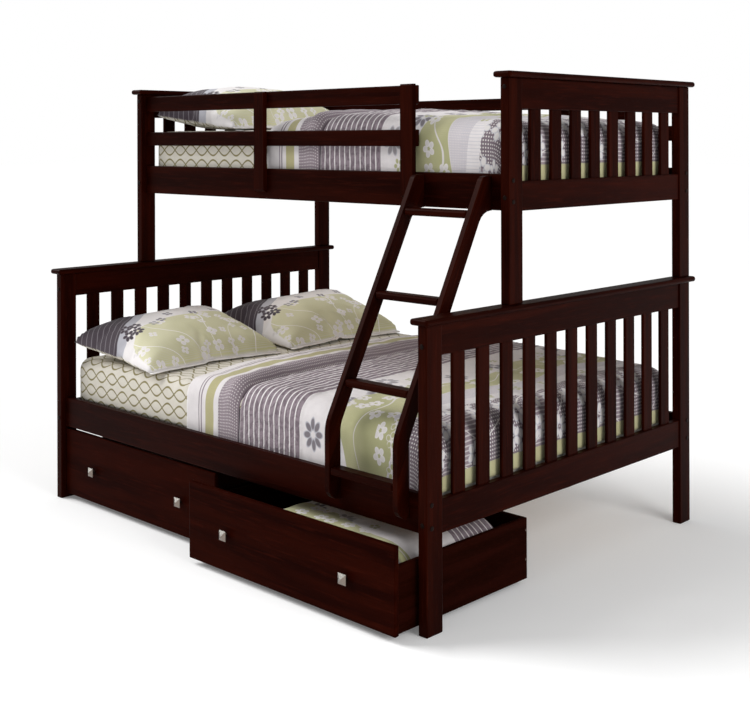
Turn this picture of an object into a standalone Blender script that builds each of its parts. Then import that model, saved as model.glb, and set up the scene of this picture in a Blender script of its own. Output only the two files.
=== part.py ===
"""A mission-style twin over full bunk bed: two slatted-end bunks, a guard rail on each side of the
upper one, a fixed ladder, two storage drawers on wheels under the lower one, and the bedding.

Metres, +Z up. The origin is on the floor at the middle of the lower bed, under its centre leg.
+X runs from the head end to the foot end, -Y is the side with the ladder and the drawers.
"""

import math

import bmesh
import bpy
from mathutils import Vector

# Driving dimensions
LENGTH = 1.996  # outside of the head posts to outside of the foot posts
LOWER_WIDTH = 1.492  # outside to outside of the lower posts, for a full mattress
UPPER_WIDTH = 1.103  # the same for the upper posts, for a twin mattress
POST_X, POST_Y = 0.034, 0.070
LOWER_CAP_TOP, UPPER_CAP_TOP = 0.920, 1.652
CAP_THICK, CAP_OVERHANG = 0.020, 0.018
GAP = 0.0003  # between pieces that touch

# End panels: heights of the two rails, and the upright slats between them
LOWER_TOP_RAIL = (0.808, LOWER_CAP_TOP - CAP_THICK - GAP)
LOWER_BOTTOM_RAIL = (0.287, 0.387)
UPPER_TOP_RAIL = (1.534, UPPER_CAP_TOP - CAP_THICK - GAP)
UPPER_BOTTOM_RAIL = (1.212, 1.306)
END_RAIL_THICK, END_RAIL_INSET = 0.025, 0.0045
LOWER_SLATS, UPPER_SLATS = 11, 8
SLAT_WIDTH, SLAT_THICK = 0.057, 0.012

# Side rails, the cleats on their inner faces, and the slats that the mattresses lie on
RAIL_THICK = 0.024
LOWER_RAIL_SETBACK, UPPER_RAIL_SETBACK = 0.020, 0.024
LOWER_RAIL, UPPER_RAIL = (0.288, 0.404), (1.213, 1.329)
CLEAT_Y, CLEAT_Z, CLEAT_END = 0.021, 0.025, 0.024
LOWER_BASE_TOP, UPPER_BASE_TOP = 0.352, 1.275
BASE_SLAT_X, BASE_SLAT_Z, BASE_REACH = 0.066, 0.015, 0.930
LOWER_BASE_SLATS, UPPER_BASE_SLATS = 14, 12
STRAP_REACH, STRAP_WIDTH, STRAP_THICK = 0.920, 0.030, 0.002
BEAM_Y, BEAM_Z, LEG_SIDE = 0.044, 0.062, 0.045

# Guard rails
GUARD_THICK = 0.018
GUARD_TOP, GUARD_MIDDLE = (1.558, 1.622), (1.415, 1.472)
GUARD_END_X = 0.586  # where the front guard stops, to leave the ladder's way in
UPRIGHT_WIDTH = 0.056
UPRIGHT_FOOT = 1.236
MIDDLE_UPRIGHT_X = -0.207
REAR_GUARD_TOP, REAR_GUARD_MIDDLE = (1.560, 1.611), (1.430, 1.487)
REAR_UPRIGHTS_X = (-0.717, -0.443, 0.443, 0.717)

# Ladder
STRINGER_THICK = 0.022
STRINGER_LEFT_X, STRINGER_RIGHT_X = 0.603, 0.891  # their head-side faces
STRINGER_DEPTH = 0.0507
STRINGER_FOOT, STRINGER_BEND, STRINGER_TOP = 0.325, 0.562, 1.322
LADDER_LEAN = 0.5257  # run towards the bed for each metre of rise, above the bend
BACK_BEND = 0.5525  # height of the bend in a stringer's back edge
TREAD_HEIGHTS = (0.418, 0.680, 0.941, 1.202)
TREAD_DEPTH, TREAD_THICK = 0.048, 0.024

# Drawers, shut; the right one then stands open by RIGHT_OPEN
DRAWER_SIDE_GAP = 0.004
FRONT_BOTTOM, FRONT_TOP, FRONT_THICK = 0.020, 0.280, 0.018
BOX_TOP, BOX_WALL, BOX_INSET, BOX_BACK = 0.217, 0.015, 0.010, -0.090
BOTTOM_Z = (0.045, 0.051)
RIGHT_OPEN = 0.115
KNOB_SPACING, KNOB_HEIGHT, KNOB_SIDE = 0.560, 0.142, 0.033
KNOB_STEM, KNOB_STEM_RADIUS, KNOB_PLATE, KNOB_POINT = 0.011, 0.006, 0.005, 0.008
WHEEL_RADIUS, WHEEL_WIDTH, WHEEL_BORE, PIN_RADIUS = 0.020, 0.016, 0.0036, 0.003
WHEEL_CENTRE_Z = 0.0205
WHEEL_SPREAD_X = 0.36
WHEEL_ROWS_Y = {"front": -0.620, "back": -0.180}
CHEEK_THICK, CHEEK_DEPTH, CHEEK_FOOT = 0.003, 0.022, 0.0145

# Bedding
MATTRESS_LENGTH, FULL_WIDTH, TWIN_WIDTH = 1.905, 1.372, 0.991
LOWER_MATTRESS_TOP, UPPER_MATTRESS_TOP = 0.560, 1.475
QUILT_HEAD_X = -0.295
LOWER_LOFT, UPPER_LOFT = 0.040, 0.065  # how far each quilt puffs up above its mattress
QUILT_EASE = 0.0015  # between the quilt and whatever is beside it
LOWER_SKIRT_Z, UPPER_SKIRT_Z = 0.385, 1.290
PILLOW_X = (-0.945, -0.400)
LOWER_PILLOW_THICK, UPPER_PILLOW_THICK = 0.180, 0.176
LOWER_PILLOWS_Y = {"front": (-0.715, -0.020), "rear": (-0.016, 0.735)}
UPPER_PILLOW_Y = (-0.312, 0.350)
# The spare quilt in the right drawer, where it is while that drawer is shut
STORED_X, STORED_Y, STORED_TOP = (0.285, 0.925), (-0.670, -0.190), 0.243

HALF = LENGTH / 2
POST_INNER_X = HALF - POST_X
LOWER_Y = (-LOWER_WIDTH / 2, LOWER_WIDTH / 2)
UPPER_Y = (LOWER_WIDTH / 2 - UPPER_WIDTH, LOWER_WIDTH / 2)

# Finishes: colour, roughness and metallic value
WOOD = ("espresso_wood", (0.045, 0.013, 0.009), 0.35, 0.0)
SLAT_WOOD = ("plain_pine", (0.52, 0.36, 0.20), 0.6, 0.0)
DRAWER_BOARD = ("drawer_board", (0.085, 0.045, 0.032), 0.55, 0.0)
NICKEL = ("brushed_nickel", (0.66, 0.64, 0.60), 0.3, 1.0)
PLASTIC = ("black_plastic", (0.02, 0.02, 0.02), 0.45, 0.0)
TICKING = ("mattress_cover", (0.80, 0.80, 0.74), 0.9, 0.0)
QUILTING = ("quilt_cover", (0.50, 0.46, 0.52), 0.9, 0.0)
PILLOW_COVER = ("pillow_cover", (0.62, 0.66, 0.48), 0.9, 0.0)


def material(piece_name, finish):
    """A piece's own material, from one of the finishes."""
    finish_name, colour, roughness, metallic = finish
    made = bpy.data.materials.new(f"{piece_name}_{finish_name}")
    made.use_nodes = True
    shader = made.node_tree.nodes["Principled BSDF"]
    shader.inputs["Base Color"].default_value = (*colour, 1.0)
    shader.inputs["Roughness"].default_value = roughness
    shader.inputs["Metallic"].default_value = metallic
    return made


def add_box(bm, low, high):
    """One closed box in bm, between two opposite corners."""
    centre = (Vector(low) + Vector(high)) / 2
    size = Vector(high) - Vector(low)
    made = bmesh.ops.create_cube(bm, size=1.0)
    for vertex in made["verts"]:
        vertex.co = Vector(a * b for a, b in zip(vertex.co, size)) + centre


def finish_mesh(name, bm, finish, parent=None, origin=(0, 0, 0)):
    """An object whose mesh was drawn in world coordinates, with its origin moved to `origin`."""
    bmesh.ops.translate(bm, verts=bm.verts, vec=-Vector(origin))
    bmesh.ops.recalc_face_normals(bm, faces=bm.faces)
    mesh = bpy.data.meshes.new(name)
    bm.to_mesh(mesh)
    bm.free()
    made = bpy.data.objects.new(name, mesh)
    made.location = origin
    bpy.context.scene.collection.objects.link(made)
    if finish:
        mesh.materials.append(material(name, finish))
    if parent:
        made.parent = parent
    return made


def round_edges(piece, width, segments=2):
    bevel = piece.modifiers.new("Rounded edges", "BEVEL")
    bevel.width = width
    bevel.segments = segments
    bevel.limit_method = "ANGLE"
    bevel.angle_limit = math.radians(40)
    bevel.use_clamp_overlap = True


def board(name, low, high, finish, parent=None, edge=0.003, segments=2):
    """A rectangular board with rounded edges, its origin at its middle."""
    bm = bmesh.new()
    add_box(bm, low, high)
    middle = (Vector(low) + Vector(high)) / 2
    made = finish_mesh(name, bm, finish, parent, middle)
    if edge:
        round_edges(made, edge, segments)
    return made


def helper(name, boxes, edge=0.0):
    """A hidden object of separate boxes, which a Boolean adds to a piece or cuts from it."""
    bm = bmesh.new()
    for low, high in boxes:
        add_box(bm, low, high)
    made = finish_mesh(name, bm, None)
    hide(made)
    if edge:
        round_edges(made, edge, 1)
    return made


def hide(guide):
    guide.hide_render = True
    guide.display_type = "WIRE"


def combine(piece, other, operation="UNION"):
    boolean = piece.modifiers.new(other.name, "BOOLEAN")
    boolean.operation = operation
    boolean.object = other


def empty(name, location):
    made = bpy.data.objects.new(name, None)
    made.location = location
    bpy.context.scene.collection.objects.link(made)
    return made


def turned(name, profile, sides, finish, origin, parent=None):
    """A ring about the X axis through `origin`; profile is a closed list of (x, radius)."""
    bm = bmesh.new()
    rings = []
    for step in range(sides):
        angle = 2 * math.pi * step / sides
        ring = [
            bm.verts.new((x, radius * math.cos(angle), radius * math.sin(angle)))
            for x, radius in profile
        ]
        rings.append(ring)
    for ring, after in zip(rings, rings[1:] + rings[:1]):
        for i in range(len(profile)):
            j = (i + 1) % len(profile)
            bm.faces.new((ring[i], ring[j], after[j], after[i]))
    bmesh.ops.recalc_face_normals(bm, faces=bm.faces)
    mesh = bpy.data.meshes.new(name)
    bm.to_mesh(mesh)
    bm.free()
    mesh.materials.append(material(name, finish))
    made = bpy.data.objects.new(name, mesh)
    made.location = origin
    made.parent = parent
    bpy.context.scene.collection.objects.link(made)
    mesh.shade_smooth()
    mesh.set_sharp_from_angle(angle=math.radians(40))
    return made


def rounded_outline(corners, steps=4):
    """A closed outline through (y, z, radius) corners, each turned on an arc of its radius."""
    outline = []
    count = len(corners)
    for index, (y, z, radius) in enumerate(corners):
        here = Vector((y, z))
        before = Vector(corners[index - 1][:2]) - here
        after = Vector(corners[(index + 1) % count][:2]) - here
        before.normalize()
        after.normalize()
        half_angle = before.angle(after) / 2
        middle = (before + after).normalized()
        centre = here + middle * (radius / math.sin(half_angle))
        start = here + before * (radius / math.tan(half_angle)) - centre
        end = here + after * (radius / math.tan(half_angle)) - centre
        turn = start.angle_signed(end)
        first = math.atan2(start.y, start.x)
        for step in range(steps + 1):
            angle = first - turn * step / steps
            outline.append(centre + radius * Vector((math.cos(angle), math.sin(angle))))
    return outline


def extruded(name, outline, x_low, x_high, finish):
    """A plate with a (y, z) outline, between two heights along X."""
    bm = bmesh.new()
    face = bm.faces.new([bm.verts.new((x_low, y, z)) for y, z in outline])
    grown = bmesh.ops.extrude_face_region(bm, geom=[face])
    moved = [item for item in grown["geom"] if isinstance(item, bmesh.types.BMVert)]
    bmesh.ops.translate(bm, verts=moved, vec=(x_high - x_low, 0, 0))
    middle = ((x_low + x_high) / 2, outline[0][0], outline[0][1])
    return finish_mesh(name, bm, finish, None, middle)


def end_panel(name, side, y_range, top_rail, bottom_rail, slat_count, finish):
    """Two rails with upright slats let into them, between the posts of one end."""
    outer = HALF - END_RAIL_INSET
    inner = outer - END_RAIL_THICK
    middle = (outer + inner) / 2
    y_low = y_range[0] + POST_Y + GAP
    y_high = y_range[1] - POST_Y - GAP

    def across(x_low, x_high, y0, y1, z_range):
        xs = sorted((side * x_low, side * x_high))
        return (xs[0], y0, z_range[0]), (xs[1], y1, z_range[1])

    panel = board(name, *across(inner, outer, y_low, y_high, top_rail), finish, edge=0.002, segments=1)
    lower = helper(name + "_bottom_rail", [across(inner, outer, y_low, y_high, bottom_rail)], 0.002)
    spare = (y_high - y_low) - slat_count * SLAT_WIDTH
    space = spare / (slat_count + 1)
    let_in = 0.006
    slat_z = (bottom_rail[1] - let_in, top_rail[0] + let_in)
    slats = []
    for index in range(slat_count):
        start = y_low + space + index * (SLAT_WIDTH + space)
        half = SLAT_THICK / 2
        slats.append(across(middle - half, middle + half, start, start + SLAT_WIDTH, slat_z))
    uprights = helper(name + "_slats", slats, 0.002)
    combine(panel, uprights)
    combine(panel, lower)
    return panel


def bed_end(level, end, side, y_range, foot, cap_top, rails, slat_count, finish):
    """Two posts, the slatted panel between them, and the cap that lies over all three."""
    xs = sorted((side * POST_INNER_X, side * HALF))
    post_top = cap_top - CAP_THICK - GAP
    front = (y_range[0], y_range[0] + POST_Y)
    rear = (y_range[1] - POST_Y, y_range[1])
    for where, ys in (("front", front), ("rear", rear)):
        board(f"{level}_{end}_post_{where}", (xs[0], ys[0], foot), (xs[1], ys[1], post_top), finish)
    end_panel(f"{level}_{end}_panel", side, y_range, *rails, slat_count, finish)
    low = (xs[0] - CAP_OVERHANG, y_range[0] - CAP_OVERHANG, cap_top - CAP_THICK)
    high = (xs[1] + CAP_OVERHANG, y_range[1] + CAP_OVERHANG, cap_top)
    board(f"{level}_{end}_cap", low, high, finish, edge=0.0085, segments=3)


def side_rail(name, y_outer, facing, z_range, base_top, finish):
    """A side rail with the cleat that carries the slats; facing is +1 where the bed is on its +Y side."""
    y_inner = y_outer + facing * RAIL_THICK
    ys = sorted((y_outer, y_inner))
    reach = POST_INNER_X - GAP
    rail = board(name, (-reach, ys[0], z_range[0]), (reach, ys[1], z_range[1]), finish)
    bury = 0.001
    cleat = sorted((y_inner - facing * bury, y_inner + facing * CLEAT_Y))
    top = base_top - BASE_SLAT_Z - GAP
    length = reach - CLEAT_END
    low, high = (-length, cleat[0], top - CLEAT_Z), (length, cleat[1], top)
    combine(rail, helper(name + "_cleat", [(low, high)]))


def slat_base(name, y_low, y_high, top, count, finish):
    """The loose slats under a mattress, held at their spacing by two straps below them."""
    bottom = top - BASE_SLAT_Z
    pitch = (2 * BASE_REACH - BASE_SLAT_X) / (count - 1)
    slats = []
    for index in range(count):
        start = -BASE_REACH + index * pitch
        slats.append(((start, y_low, bottom), (start + BASE_SLAT_X, y_high, top)))
    bury = 0.0005
    quarter = (y_high - y_low) / 4
    straps = []
    for middle in (y_low + quarter, y_high - quarter):
        low = (-STRAP_REACH, middle - STRAP_WIDTH / 2, bottom - STRAP_THICK)
        high = (STRAP_REACH, middle + STRAP_WIDTH / 2, bottom + bury)
        straps.append((low, high))
    base = board(name, *straps[0], finish, edge=0)
    combine(base, helper(name + "_slats", slats))
    combine(base, helper(name + "_strap", straps[1:]))


def centre_beam(finish):
    """The beam along the middle of the lower bed, with its leg down to the floor."""
    top = LOWER_BASE_TOP - BASE_SLAT_Z - GAP
    reach = HALF - END_RAIL_INSET - END_RAIL_THICK - GAP
    low = (-reach, -BEAM_Y / 2, top - BEAM_Z)
    beam = board("centre_beam", low, (reach, BEAM_Y / 2, top), finish, edge=0)
    half = LEG_SIDE / 2
    bury = 0.020
    leg = helper("centre_leg", [((-half, -half, 0.0), (half, half, top - BEAM_Z + bury))])
    combine(beam, leg)


def slanted_upright(name, x_middle, y_front, y_back, top, finish):
    """A guard upright: a flat board whose foot is cut at a slant and whose head is eased."""
    slant = 0.012
    outline = rounded_outline(
        [
            (y_front, UPRIGHT_FOOT + slant, 0.003),
            (y_back, UPRIGHT_FOOT, 0.001),
            (y_back, top, 0.001),
            (y_front, top, 0.005),
        ],
        2,
    )
    half = UPRIGHT_WIDTH / 2
    extruded(name, outline, x_middle - half, x_middle + half, finish)


def front_guard(finish):
    y_face = UPPER_Y[0] + UPPER_RAIL_SETBACK
    start = -POST_INNER_X + GAP
    for name, z_range in (("guard_top_board", GUARD_TOP), ("guard_middle_board", GUARD_MIDDLE)):
        low = (start, y_face, z_range[0])
        board(name, low, (GUARD_END_X, y_face + GUARD_THICK, z_range[1]), finish)
    y_back = y_face - GAP
    y_front = y_back - GUARD_THICK
    end_middle = GUARD_END_X - UPRIGHT_WIDTH / 2
    slanted_upright("guard_middle_upright", MIDDLE_UPRIGHT_X, y_front, y_back, GUARD_TOP[1], finish)
    slanted_upright("guard_end_upright", end_middle, y_front, y_back, GUARD_TOP[1] + 0.004, finish)


def rear_guard(finish):
    y_face = UPPER_Y[1] - UPPER_RAIL_SETBACK
    reach = POST_INNER_X - GAP
    boards = [
        ((-reach, y_face - GUARD_THICK, z_range[0]), (reach, y_face, z_range[1]))
        for z_range in (REAR_GUARD_TOP, REAR_GUARD_MIDDLE)
    ]
    bury = 0.001
    half = UPRIGHT_WIDTH / 2
    uprights = []
    for x in REAR_UPRIGHTS_X:
        low = (x - half, y_face - bury, UPRIGHT_FOOT)
        uprights.append((low, (x + half, y_face + GUARD_THICK, REAR_GUARD_TOP[1] - 0.004)))
    guard = board("rear_guard", *boards[0], finish, edge=0.002, segments=1)
    combine(guard, helper("rear_guard_uprights", uprights, 0.002))
    combine(guard, helper("rear_guard_middle", boards[1:], 0.002))
    # The uprights stand clear of the side rail that they are bolted to by a shallow rebate.
    clear = 0.002
    rebate_low = (-reach, y_face - GUARD_THICK, UPRIGHT_FOOT - clear)
    rebate = (rebate_low, (reach, y_face + GAP, UPPER_RAIL[1] + clear))
    combine(guard, helper("rear_guard_rebate", [rebate]), "DIFFERENCE")


def stringer_back(z):
    """How far along Y a stringer's back edge is, above its bend."""
    return LOWER_Y[0] + LOWER_RAIL_SETBACK - GAP + LADDER_LEAN * (z - BACK_BEND)


def ladder(finish):
    back = LOWER_Y[0] + LOWER_RAIL_SETBACK - GAP
    front = back - STRINGER_DEPTH
    top_back = UPPER_Y[0] + UPPER_RAIL_SETBACK - GAP
    top_front = front + LADDER_LEAN * (STRINGER_TOP - STRINGER_BEND)
    under_rail = UPPER_RAIL[0] - 0.001
    corners = [
        (back, STRINGER_FOOT, 0.004),
        (front, STRINGER_FOOT, 0.042),
        (front, STRINGER_BEND, 0.120),
        (top_front, STRINGER_TOP, 0.026),
        (top_back, STRINGER_TOP, 0.004),
        (top_back, under_rail, 0.002),
        (stringer_back(under_rail), under_rail, 0.065),
        (back, BACK_BEND, 0.080),
    ]
    outline = rounded_outline(corners)
    for name, x in (("ladder_stringer_left", STRINGER_LEFT_X), ("ladder_stringer_right", STRINGER_RIGHT_X)):
        stringer = extruded(name, outline, x, x + STRINGER_THICK, finish)
        round_edges(stringer, 0.003, 1)
    x_low = STRINGER_LEFT_X + STRINGER_THICK + GAP
    x_high = STRINGER_RIGHT_X - GAP
    for index, z in enumerate(TREAD_HEIGHTS):
        y = (front + back) / 2 + LADDER_LEAN * max(0.0, z - (STRINGER_BEND + BACK_BEND) / 2)
        low = (x_low, y - TREAD_DEPTH / 2, z - TREAD_THICK / 2)
        high = (x_high, y + TREAD_DEPTH / 2, z + TREAD_THICK / 2)
        board(f"ladder_tread_{index + 1}", low, high, finish, edge=0.007)


def walls(name, low, high, thick, finish, parent):
    """The four walls of a box as one ring, open above and below."""
    bm = bmesh.new()
    loops = []
    for inset, z in ((0, low[2]), (thick, low[2]), (thick, high[2]), (0, high[2])):
        x0, x1 = low[0] + inset, high[0] - inset
        y0, y1 = low[1] + inset, high[1] - inset
        loops.append([bm.verts.new((x, y, z)) for x, y in ((x0, y0), (x1, y0), (x1, y1), (x0, y1))])
    for loop, after in zip(loops, loops[1:] + loops[:1]):
        for i in range(4):
            j = (i + 1) % 4
            bm.faces.new((loop[i], loop[j], after[j], after[i]))
    middle = (Vector(low) + Vector(high)) / 2
    made = finish_mesh(name, bm, finish, parent, middle)
    round_edges(made, 0.002, 1)
    return made


def knob(name, x, y, z, finish, parent):
    """A square knob with a low pyramid face, on a round stem. Its back is at y, and it points to -Y."""
    bury = 0.001
    length = KNOB_STEM + bury
    bm = bmesh.new()
    made = bmesh.ops.create_cone(
        bm, cap_ends=True, segments=12, radius1=KNOB_STEM_RADIUS, radius2=KNOB_STEM_RADIUS,
        depth=length,
    )
    for vertex in made["verts"]:
        across, up, along = vertex.co
        vertex.co = (across, -(along + length / 2), up)
    stem = finish_mesh(name + "_stem", bm, None, parent)
    hide(stem)
    stem.location = (x, y, z)
    bm = bmesh.new()
    half = KNOB_SIDE / 2
    easing = 0.0025
    levels = ((KNOB_STEM, half - easing), (KNOB_STEM + easing, half), (KNOB_STEM + KNOB_PLATE, half))
    loops = []
    for depth, reach in levels:
        square = ((-reach, -reach), (reach, -reach), (reach, reach), (-reach, reach))
        loops.append([bm.verts.new((a, -depth, b)) for a, b in square])
    tip = bm.verts.new((0, -(KNOB_STEM + KNOB_PLATE + KNOB_POINT), 0))
    bm.faces.new(loops[0])
    for loop, after in zip(loops, loops[1:]):
        for i in range(4):
            bm.faces.new((loop[i], loop[(i + 1) % 4], after[(i + 1) % 4], after[i]))
    for i in range(4):
        bm.faces.new((loops[-1][i], loops[-1][(i + 1) % 4], tip))
    head = finish_mesh(name, bm, finish, parent)
    head.location = (x, y, z)
    combine(head, stem)


def wheel_profile():
    half = WHEEL_WIDTH / 2
    ease = 0.003
    return [
        (-half, WHEEL_BORE),
        (half, WHEEL_BORE),
        (half, WHEEL_RADIUS - ease),
        (half - ease, WHEEL_RADIUS),
        (-half + ease, WHEEL_RADIUS),
        (-half, WHEEL_RADIUS - ease),
    ]


def wheel_mounts(name, x, y, parent):
    """Two cheeks and the pin between them, which a drawer's bottom panel carries over each wheel."""
    clear = 0.001
    bury = 0.001
    cheeks = []
    for side in (-1, 1):
        xs = sorted((side * (WHEEL_WIDTH / 2 + clear), side * (WHEEL_WIDTH / 2 + clear + CHEEK_THICK)))
        low = (x + xs[0], y - CHEEK_DEPTH / 2, CHEEK_FOOT)
        cheeks.append((low, (x + xs[1], y + CHEEK_DEPTH / 2, BOTTOM_Z[0] + bury)))
    pair = helper(name + "_cheeks", cheeks)
    pair.parent = parent
    bm = bmesh.new()
    length = WHEEL_WIDTH + 2 * (clear + CHEEK_THICK + bury)
    made = bmesh.ops.create_cone(
        bm, cap_ends=True, segments=12, radius1=PIN_RADIUS, radius2=PIN_RADIUS, depth=length
    )
    for vertex in made["verts"]:
        across, up, along = vertex.co
        vertex.co = (along, across, up)
    pin = finish_mesh(name + "_pin", bm, None, parent)
    pin.location = (x, y, WHEEL_CENTRE_Z)
    hide(pin)
    return pair, pin


def drawer(side_name, x_low, x_high, opened):
    """One drawer as it is shut, then moved out by `opened` through its parent empty."""
    name = "drawer_" + side_name
    slide = empty(name + "_slide", (0, 0, 0))
    y_face = LOWER_Y[0] + LOWER_RAIL_SETBACK
    front_back = y_face + FRONT_THICK
    low = (x_low, y_face, FRONT_BOTTOM)
    board(name + "_front", low, (x_high, front_back, FRONT_TOP), WOOD, slide)
    box_low = (x_low + BOX_INSET, front_back + GAP, FRONT_BOTTOM)
    box_high = (x_high - BOX_INSET, BOX_BACK, BOX_TOP)
    walls(name + "_box", box_low, box_high, BOX_WALL, DRAWER_BOARD, slide)
    inset = BOX_WALL + GAP
    low = (box_low[0] + inset, box_low[1] + inset, BOTTOM_Z[0])
    high = (box_high[0] - inset, box_high[1] - inset, BOTTOM_Z[1])
    bottom = board(name + "_bottom", low, high, DRAWER_BOARD, slide, edge=0.002, segments=1)
    middle = (x_low + x_high) / 2
    for side, letter in ((-1, "left"), (1, "right")):
        x = middle + side * KNOB_SPACING / 2
        knob(f"{name}_knob_{letter}", x, y_face - GAP, KNOB_HEIGHT, NICKEL, slide)
        for row, y in WHEEL_ROWS_Y.items():
            wheel_name = f"{name}_wheel_{row}_{letter}"
            x = middle + side * WHEEL_SPREAD_X
            for part in wheel_mounts(wheel_name, x, y, slide):
                combine(bottom, part)
            origin = (x, y, WHEEL_CENTRE_Z)
            turned(wheel_name, wheel_profile(), 16, PLASTIC, origin, slide)
    slide.location = (0, -opened, 0)
    return slide


def drawers():
    reach = POST_INNER_X - DRAWER_SIDE_GAP
    middle = DRAWER_SIDE_GAP / 2
    drawer("left", -reach, -middle, 0.0)
    right = drawer("right", middle, reach, RIGHT_OPEN)
    shut_low = (STORED_X[0], STORED_Y[0], BOTTOM_Z[1] + 0.001)
    shut_high = (STORED_X[1], STORED_Y[1], STORED_TOP)
    board("stored_bedding", shut_low, shut_high, QUILTING, right, edge=0.04)


def mattress(name, y_middle, width, bottom, top, finish):
    low = (-MATTRESS_LENGTH / 2, y_middle - width / 2, bottom)
    high = (MATTRESS_LENGTH / 2, y_middle + width / 2, top)
    board(name, low, high, finish, edge=0.025)


def quilt(name, mattress_y, side_room, skirt_z, mattress_top, loft):
    """A quilt over the foot end of a mattress, hanging at both sides and the foot."""
    cloth = side_room - 2 * QUILT_EASE
    y_low, y_high = mattress_y
    low = (QUILT_HEAD_X, y_low - side_room + QUILT_EASE, skirt_z)
    high = (POST_INNER_X - QUILT_EASE, y_high + side_room - QUILT_EASE, mattress_top + loft)
    over = board(name, low, high, QUILTING, edge=0.004, segments=1)
    beyond = 0.1
    cut_low = (QUILT_HEAD_X - beyond, low[1] + cloth, skirt_z - beyond)
    cut_high = (MATTRESS_LENGTH / 2 + QUILT_EASE, high[1] - cloth, mattress_top + QUILT_EASE)
    combine(over, helper(name + "_hollow", [(cut_low, cut_high)]), "DIFFERENCE")


def pillow(name, y_range, rests_on, thick):
    low = (PILLOW_X[0], y_range[0], rests_on + GAP)
    high = (PILLOW_X[1], y_range[1], rests_on + thick)
    board(name, low, high, PILLOW_COVER, edge=0.05)


def bedding():
    mattress("lower_mattress", 0.0, FULL_WIDTH, LOWER_BASE_TOP + GAP, LOWER_MATTRESS_TOP, TICKING)
    upper_middle = (UPPER_Y[0] + UPPER_Y[1]) / 2
    mattress("upper_mattress", upper_middle, TWIN_WIDTH, UPPER_BASE_TOP + GAP, UPPER_MATTRESS_TOP,
             TICKING)
    room = LOWER_WIDTH / 2 - LOWER_RAIL_SETBACK - RAIL_THICK - FULL_WIDTH / 2
    quilt("lower_quilt", (-FULL_WIDTH / 2, FULL_WIDTH / 2), room, LOWER_SKIRT_Z, LOWER_MATTRESS_TOP,
          LOWER_LOFT)
    room = UPPER_WIDTH / 2 - UPPER_RAIL_SETBACK - RAIL_THICK - TWIN_WIDTH / 2
    ys = (upper_middle - TWIN_WIDTH / 2, upper_middle + TWIN_WIDTH / 2)
    quilt("upper_quilt", ys, room, UPPER_SKIRT_Z, UPPER_MATTRESS_TOP, UPPER_LOFT)
    for where, y_range in LOWER_PILLOWS_Y.items():
        pillow("lower_pillow_" + where, y_range, LOWER_MATTRESS_TOP, LOWER_PILLOW_THICK)
    pillow("upper_pillow", UPPER_PILLOW_Y, UPPER_MATTRESS_TOP, UPPER_PILLOW_THICK)


def main():
    for old in list(bpy.data.objects):
        bpy.data.objects.remove(old, do_unlink=True)
    lower_rails = (LOWER_TOP_RAIL, LOWER_BOTTOM_RAIL)
    upper_rails = (UPPER_TOP_RAIL, UPPER_BOTTOM_RAIL)
    for end, side in (("foot", 1), ("head", -1)):
        bed_end("lower", end, side, LOWER_Y, 0.0, LOWER_CAP_TOP, lower_rails, LOWER_SLATS, WOOD)
        stands_on = LOWER_CAP_TOP + GAP
        bed_end("upper", end, side, UPPER_Y, stands_on, UPPER_CAP_TOP, upper_rails, UPPER_SLATS, WOOD)
    for level, y_range, setback, z_range, base_top in (
        ("lower", LOWER_Y, LOWER_RAIL_SETBACK, LOWER_RAIL, LOWER_BASE_TOP),
        ("upper", UPPER_Y, UPPER_RAIL_SETBACK, UPPER_RAIL, UPPER_BASE_TOP),
    ):
        side_rail(level + "_rail_front", y_range[0] + setback, 1, z_range, base_top, WOOD)
        side_rail(level + "_rail_rear", y_range[1] - setback, -1, z_range, base_top, WOOD)
    clear = 0.001
    inset = LOWER_RAIL_SETBACK + RAIL_THICK + clear
    slat_base("lower_slats", LOWER_Y[0] + inset, LOWER_Y[1] - inset, LOWER_BASE_TOP, LOWER_BASE_SLATS,
              SLAT_WOOD)
    inset = UPPER_RAIL_SETBACK + RAIL_THICK + clear
    slat_base("upper_slats", UPPER_Y[0] + inset, UPPER_Y[1] - inset, UPPER_BASE_TOP, UPPER_BASE_SLATS,
              SLAT_WOOD)
    centre_beam(WOOD)
    front_guard(WOOD)
    rear_guard(WOOD)
    ladder(WOOD)
    drawers()
    bedding()


main()
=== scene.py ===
"""The looks of a twin over full bunk bed: lacquered wood, brushed knobs, and the printed bedding.

Everything is in metres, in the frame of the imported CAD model: +X runs from the head end to the foot
end, -Y is the side with the ladder and the drawers, and +Z is up.
"""

import math
import random
from functools import partialmethod

import bmesh
import bpy
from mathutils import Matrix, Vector, noise


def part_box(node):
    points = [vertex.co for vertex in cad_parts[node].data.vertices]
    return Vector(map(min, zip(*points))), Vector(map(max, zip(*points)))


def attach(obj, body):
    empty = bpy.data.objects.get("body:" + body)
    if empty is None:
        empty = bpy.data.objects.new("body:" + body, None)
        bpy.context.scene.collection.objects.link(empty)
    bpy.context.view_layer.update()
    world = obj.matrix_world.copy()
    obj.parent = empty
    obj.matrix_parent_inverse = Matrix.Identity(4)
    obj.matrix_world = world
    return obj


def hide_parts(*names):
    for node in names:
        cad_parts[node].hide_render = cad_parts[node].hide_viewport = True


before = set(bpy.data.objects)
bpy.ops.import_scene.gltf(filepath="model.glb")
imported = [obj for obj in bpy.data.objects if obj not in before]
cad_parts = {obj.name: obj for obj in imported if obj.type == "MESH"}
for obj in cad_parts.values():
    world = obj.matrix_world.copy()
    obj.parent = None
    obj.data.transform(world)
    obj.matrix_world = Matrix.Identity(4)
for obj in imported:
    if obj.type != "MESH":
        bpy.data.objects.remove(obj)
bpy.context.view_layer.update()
scene = bpy.context.scene

# Camera
CAMERA_AT = (3.290, -3.321, 1.4385)
CAMERA_AZIMUTH, CAMERA_ROLL = 44.1, 0.155  # degrees
CAMERA_LENS, CAMERA_SHIFT = 57.46, -0.2887

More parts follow.
